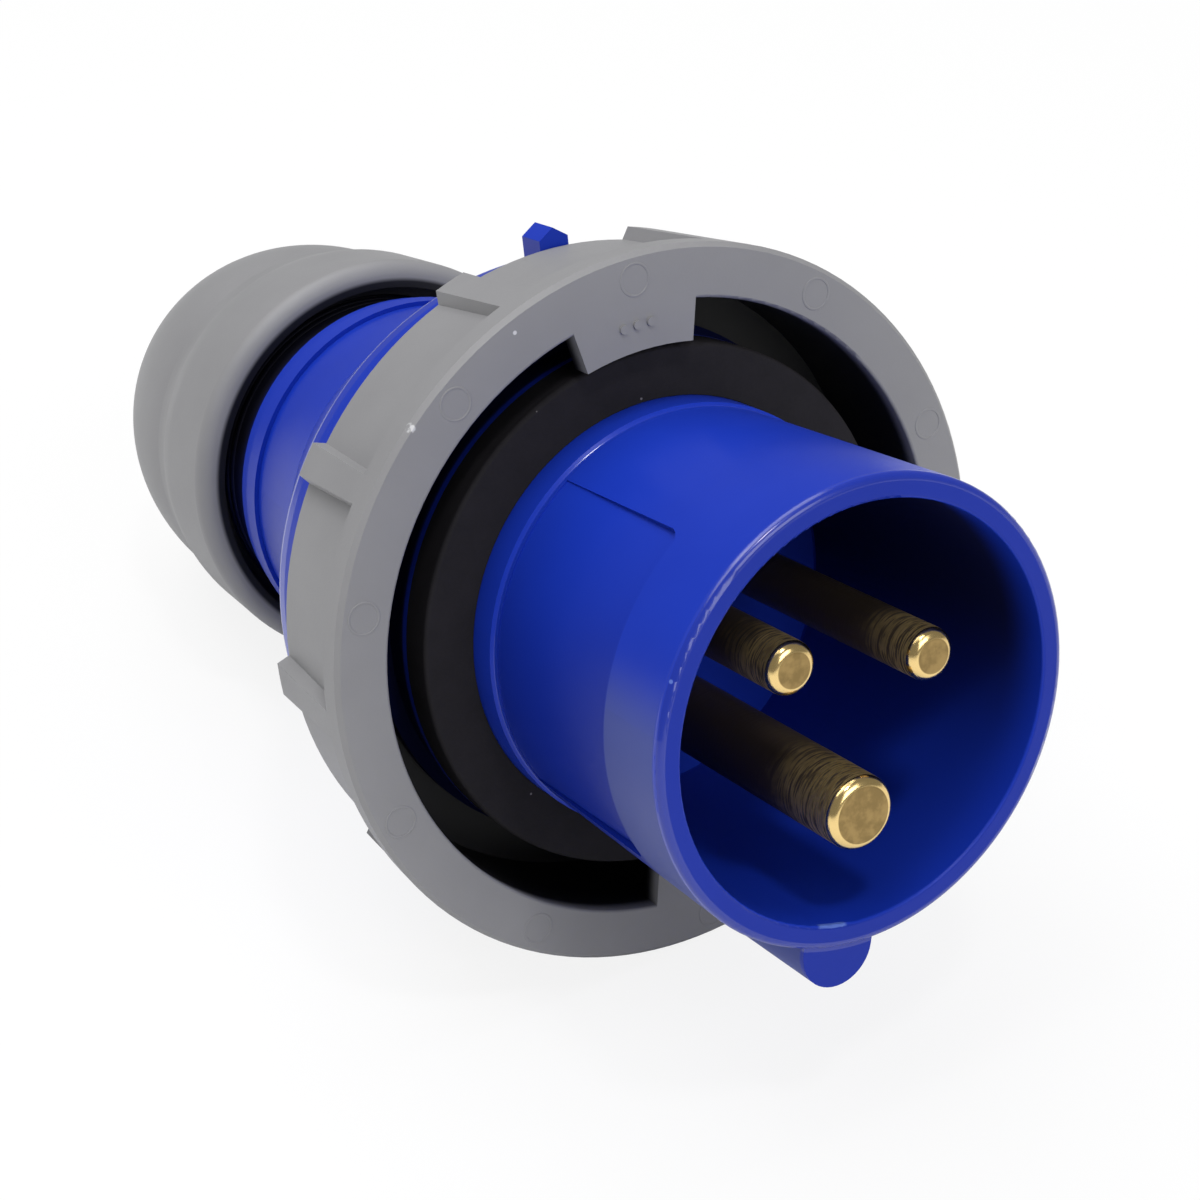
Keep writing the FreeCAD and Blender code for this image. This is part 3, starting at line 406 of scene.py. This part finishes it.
def grey_polyamide():
    """Satin moulded grey with a fine grain, faint clouds, pale specks, and a nick and a fleck on the ring.

    Painted shade darkens it in the ring's bore and inside the mouth of the nut.
    """
    finish = Finish("grey_polyamide")
    clouds = finish.noise(size=9.0)
    grain = finish.noise(size=0.25, detail=4.0)
    back = finish.along(BACK)
    out = finish.from_axis()
    dark = (0.238, 0.237, 0.246, 1.0)
    light = (0.280, 0.279, 0.288, 1.0)
    pale = (0.62, 0.62, 0.64, 1.0)
    painted_shade_colour = (0.0045, 0.0045, 0.0060, 1.0)
    # Painted shade: near black in the ring's bore and inside the nut's mouth
    bore = (out < RING_BORE) * finish.between(back, *RING_ENTRY) * (back < RING_END)
    mouth = finish.between(out, *MOUTH_WALL) * finish.within(back, *MOUTH_REACH)
    chipped = (out > RING_CORNER) * finish.between(finish.noise(size=0.5), 0.40, 0.58)
    fleck = finish.specks(spacing=5.0, size=0.14, share=0.04) + finish.spot(*RING_FLECK)
    fleck = fleck + finish.spot(*RING_NICK) * chipped
    body = finish.mix(bore + mouth, finish.mix(clouds, dark, light), painted_shade_colour)
    return finish.set(
        Base_Color=finish.mix(fleck, body, pale),
        Roughness=0.42 + 0.10 * grain,
        Normal=finish.bump(grain, depth=0.010, normal=finish.bump(clouds, depth=0.05)),
        Specular_IOR_Level=0.40,
    )


def black_rubber():
    """Matt black rubber with a dusty bloom and tiny light specks."""
    finish = Finish("black_rubber")
    bloom = finish.noise(size=3.5, detail=4.0)
    grain = finish.noise(size=0.30, detail=4.0)
    black = (0.0075, 0.0068, 0.0090, 1.0)
    dusty = (0.0170, 0.0150, 0.0185, 1.0)
    fleck = (0.16, 0.15, 0.16, 1.0)
    body = finish.mix(bloom, black, dusty)
    return finish.set(
        Base_Color=finish.mix(finish.specks(spacing=1.6, size=0.13, share=0.12), body, fleck),
        Roughness=0.72 + 0.15 * grain,
        Normal=finish.bump(grain, depth=0.02),
        Specular_IOR_Level=0.25,
    )


def turned_brass():
    """Turned brass: flat ends darkened by painted shade and varied by stains, with polished edges, and
    shafts darkened by painted shade and tarnish, save for gold turned rings near the tip.
    """
    finish = Finish("turned_brass")
    uneven = finish.noise(size=1.6, detail=2.0)
    facing = finish.facing(-BACK)
    tip = finish.between(facing, *TIP_FACING)
    flat = finish.between(facing, *FLAT_FACING)
    turned = finish.noise(size=2.6, detail=4.0, place=finish.drawn_in(TURNED_FINER))
    ring = finish.between(turned, 0.40, 0.56)
    # Painted shade and tarnish darken the shafts away from the tip
    near = 1 - finish.between(finish.along(BACK) + uneven * SHADE_AND_TARNISH_RAGGED, *SHADE_AND_TARNISH_ENTRY)
    shine = tip.math("MAXIMUM", ring * near * (0.55 + 0.45 * near))
    stains = finish.between(finish.noise(size=1.3), 0.36, 0.66)
    gold = (0.86, 0.63, 0.27, 1.0)
    shaded_dull_brass = (0.385, 0.265, 0.106, 1.0)
    shaded_stained_brass = (0.265, 0.182, 0.072, 1.0)
    shade_and_tarnish_brown = (0.072, 0.052, 0.034, 1.0)
    # The flat end face: painted shade darkens it and stains vary it
    end = finish.mix(stains, shaded_stained_brass, shaded_dull_brass)
    return finish.set(
        Base_Color=finish.mix(flat, finish.mix(shine, shade_and_tarnish_brown, gold), end),
        Metallic=0.40 + 0.60 * shine,
        Roughness=0.42 - 0.26 * tip + 0.20 * flat + 0.05 * uneven,
        Normal=finish.bump(turned, depth=0.030),
    )


def zinc_steel():
    """Zinc-plated screw steel, lightly brushed."""
    finish = Finish("zinc_steel")
    clouds = finish.noise(size=0.9)
    grain = finish.noise(size=0.12)
    pale = (0.60, 0.61, 0.62, 1.0)
    dark = (0.44, 0.45, 0.47, 1.0)
    return finish.set(
        Base_Color=finish.mix(clouds, pale, dark),
        Metallic=1.0,
        Roughness=0.30 + 0.14 * clouds,
        Normal=finish.bump(grain, depth=0.006),
    )


def dark_polyamide():
    """Plain dark moulding."""
    finish = Finish("dark_polyamide")
    clouds = finish.noise(size=4.0)
    grain = finish.noise(size=0.25, detail=4.0)
    black = (0.020, 0.020, 0.023, 1.0)
    worn = (0.042, 0.042, 0.046, 1.0)
    return finish.set(
        Base_Color=finish.mix(clouds, black, worn),
        Roughness=0.42 + 0.12 * grain,
        Normal=finish.bump(grain, depth=0.010),
    )


def pale_acetal():
    """Slippery pale moulding."""
    finish = Finish("pale_acetal")
    clouds = finish.noise(size=5.0)
    grain = finish.noise(size=0.25)
    pale = (0.74, 0.73, 0.69, 1.0)
    cream = (0.66, 0.64, 0.58, 1.0)
    return finish.set(
        Base_Color=finish.mix(clouds, pale, cream),
        Roughness=0.34 + 0.10 * grain,
        Normal=finish.bump(grain, depth=0.006),
    )


def make_finishes():
    """The finish of each slot in the record."""
    return {
        "blue_plastic": blue_polyamide(),
        "grey_plastic": grey_polyamide(),
        "dark_plastic": dark_polyamide(),
        "pale_plastic": pale_acetal(),
        "brass": turned_brass(),
        "steel": zinc_steel(),
        "black_rubber": black_rubber(),
    }


def dress_nodes(finishes):
    """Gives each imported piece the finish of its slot."""
    for part in frame["record"]["subparts"]:
        piece = frame["nodes"][part["node"]]
        piece.data.materials.clear()
        piece.data.materials.append(finishes[part["material_slot"]])


def grid_faces(copies, rows, columns):
    """Faces between neighbours of closed grids: each point with the next along both ways, wrapped."""
    index = np.arange(copies * rows * columns).reshape(copies, rows, columns)
    after = np.roll(index, -1, axis=1)
    corners = [index, np.roll(index, -1, axis=2), np.roll(after, -1, axis=2), after]
    return np.stack(corners, axis=-1).reshape(-1, 4)


def ridge_section():
    """Angles round the section of a ridge."""
    return np.linspace(0, 2 * math.pi, RIDGE_POINTS, endpoint=False)


def add_piece(name, points, faces, body, slot, finishes):
    """A smooth mesh piece that rides on a body and takes the finish of a slot."""
    mesh = bpy.data.meshes.new(name)
    mesh.from_pydata(points.reshape(-1, 3).tolist(), [], faces.tolist())
    mesh.validate()
    mesh.shade_smooth()
    mesh.materials.append(finishes[slot])
    piece = bpy.data.objects.new(name, mesh)
    bpy.context.scene.collection.objects.link(piece)
    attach(piece, body)


def add_neck_thread(finishes):
    """The neck's fine thread: a half-round ridge along a helix.

    Along the helix the angle grows evenly and the place along the plug grows by one pitch a turn.
    Across it the section is an ellipse, whose size fades to nothing at both ends.
    """
    pitch = 2 * math.pi * abs(COUPLINGS["gland_close"]["ratio"]) / MM
    turns = (THREAD_END - THREAD_START) / pitch
    steps = int(turns * STEPS_PER_TURN)
    way = np.linspace(0, 1, steps)[:, None]
    section = ridge_section()[None, :]
    fade = np.clip(np.minimum(way, 1 - way) * turns / THREAD_FADE_TURNS, 0, 1) ** 0.5
    back = THREAD_START + way * (THREAD_END - THREAD_START) + fade * THREAD_HALF_WIDTH * np.sin(section)
    radius = NECK_RADIUS + fade * THREAD_RIDGE * np.cos(section)
    points = point_at(back, radius, way * turns * 360)
    faces = grid_faces(1, steps, RIDGE_POINTS)
    last_row = (steps - 1) * RIDGE_POINTS
    faces = faces[faces.max(axis=1) - faces.min(axis=1) < last_row]
    add_piece("neck_thread", points, faces, "plug_body", "blue_plastic", finishes)


def add_ejector_marks(finishes):
    """Ejector marks on the ring's face: low round ridges, each an ellipse carried round a circle."""
    front = (np.array(MOUNTS["bayonet_lugs"]["pos_m"]) - RIM) @ BACK / MM
    turn = np.linspace(0, 2 * math.pi, MARK_STEPS, endpoint=False)[None, :, None]
    section = ridge_section()[None, None, :]
    reach = MARK_RADIUS + MARK_HALF_WIDTH * np.cos(section)
    middle = np.radians(MARK_FIRST + np.arange(MARK_COUNT) * 360 / MARK_COUNT)[:, None, None]
    outward = MARK_PLACE + reach * np.cos(turn)
    sideways = reach * np.sin(turn)
    across = outward * np.sin(middle) + sideways * np.cos(middle)
    down = outward * np.cos(middle) - sideways * np.sin(middle)
    back = front + MARK_HEIGHT * np.sin(section)
    parts = np.stack(np.broadcast_arrays(back, across, down), axis=-1)
    points = RIM + MM * parts @ AXES
    faces = grid_faces(MARK_COUNT, turn.size, RIDGE_POINTS)
    add_piece("ejector_marks", points, faces, "coupling_ring", "grey_plastic", finishes)


def camera_axes():
    """The camera's place and its right, up and back directions."""
    place = RIM + MM * np.array(CAMERA_PLACE) @ AXES
    aim = RIM + MM * np.array(CAMERA_AIM) @ AXES
    look = unit(aim - place)
    level = unit(np.cross(look, -DOWN))
    upright = np.cross(level, look)
    right = math.cos(CAMERA_ROLL) * level + math.sin(CAMERA_ROLL) * upright
    return place, right, np.cross(right, look), -look


def set_pose(thing, place, right, up, back):
    """Puts an object at a place, turned to three axes."""
    rows = np.eye(4)
    rows[:3, :3] = np.stack([right, up, back], axis=1)
    rows[:3, 3] = place
    thing.matrix_world = Matrix(rows.tolist())


def add_camera():
    """The photograph's camera."""
    data = bpy.data.cameras.new("camera")
    data.lens = CAMERA_LENS
    data.sensor_width = SENSOR
    data.clip_start = CAMERA_NEAREST * MM
    camera = bpy.data.objects.new("camera", data)
    bpy.context.scene.collection.objects.link(camera)
    set_pose(camera, *camera_axes())
    bpy.context.scene.camera = camera


def add_lamps():
    """Soft panels that face the plug. At level 1 a panel alone shows a white surface as white."""
    middle = np.array(JOINTS["ring_turn"]["pos_m"])
    _, right, up, back = camera_axes()
    for name, (across, above, behind), width, distance, level in LAMPS:
        data = bpy.data.lights.new(name, "AREA")
        data.shape = "SQUARE"
        data.size = width
        data.energy = level * (math.pi * distance) ** 2
        lamp = bpy.data.objects.new(name, data)
        bpy.context.scene.collection.objects.link(lamp)
        towards = unit(across * right + above * up + behind * back)
        level_way = unit(np.cross(WORLD_UP, towards))
        set_pose(lamp, middle + towards * distance, level_way, np.cross(towards, level_way), towards)


def light_room():
    """A room that is white to the camera, dim as light and dimmer still in gloss."""
    world = bpy.data.worlds.new("room")
    bpy.context.scene.world = world
    room = Finish("room", world)
    seen = room.node("ShaderNodeLightPath", output="Is Camera Ray")
    gloss = room.node("ShaderNodeLightPath", output="Is Glossy Ray")
    level = ROOM_LEVEL + gloss * (ROOM_GLOSS - ROOM_LEVEL)
    room.set(Color=WHITE, Strength=seen.math("MAXIMUM", level))


def add_floor():
    """A plain pale floor that keeps the plug's shadow."""
    finish = Finish("pale_floor")
    finish.set(Base_Color=FLOOR_COLOUR, Roughness=0.9, Specular_IOR_Level=0.1)
    seen = finish.node("ShaderNodeLightPath", output="Is Camera Ray")
    glow = finish.node("ShaderNodeEmission", None, {0: WHITE})
    plain = Socket(finish, finish.surface.outputs[0])
    shown = finish.node("ShaderNodeMixShader", None, {0: seen * FLOOR_GLOW, 1: plain, 2: glow})
    finish.tree.links.new(shown.output, finish.tree.nodes["Material Output"].inputs["Surface"])
    half = FLOOR_WIDTH / 2
    corners = [(-half, -half, 0), (half, -half, 0), (half, half, 0), (-half, half, 0)]
    mesh = bpy.data.meshes.new("floor")
    mesh.from_pydata(corners, [], [(0, 1, 2, 3)])
    mesh.materials.append(finish.owner)
    floor = bpy.data.objects.new("floor", mesh)
    bpy.context.scene.collection.objects.link(floor)


finishes = make_finishes()
dress_nodes(finishes)
add_neck_thread(finishes)
add_ejector_marks(finishes)
add_floor()
add_lamps()
light_room()
add_camera()
bpy.context.scene.view_settings.view_transform = "Standard"
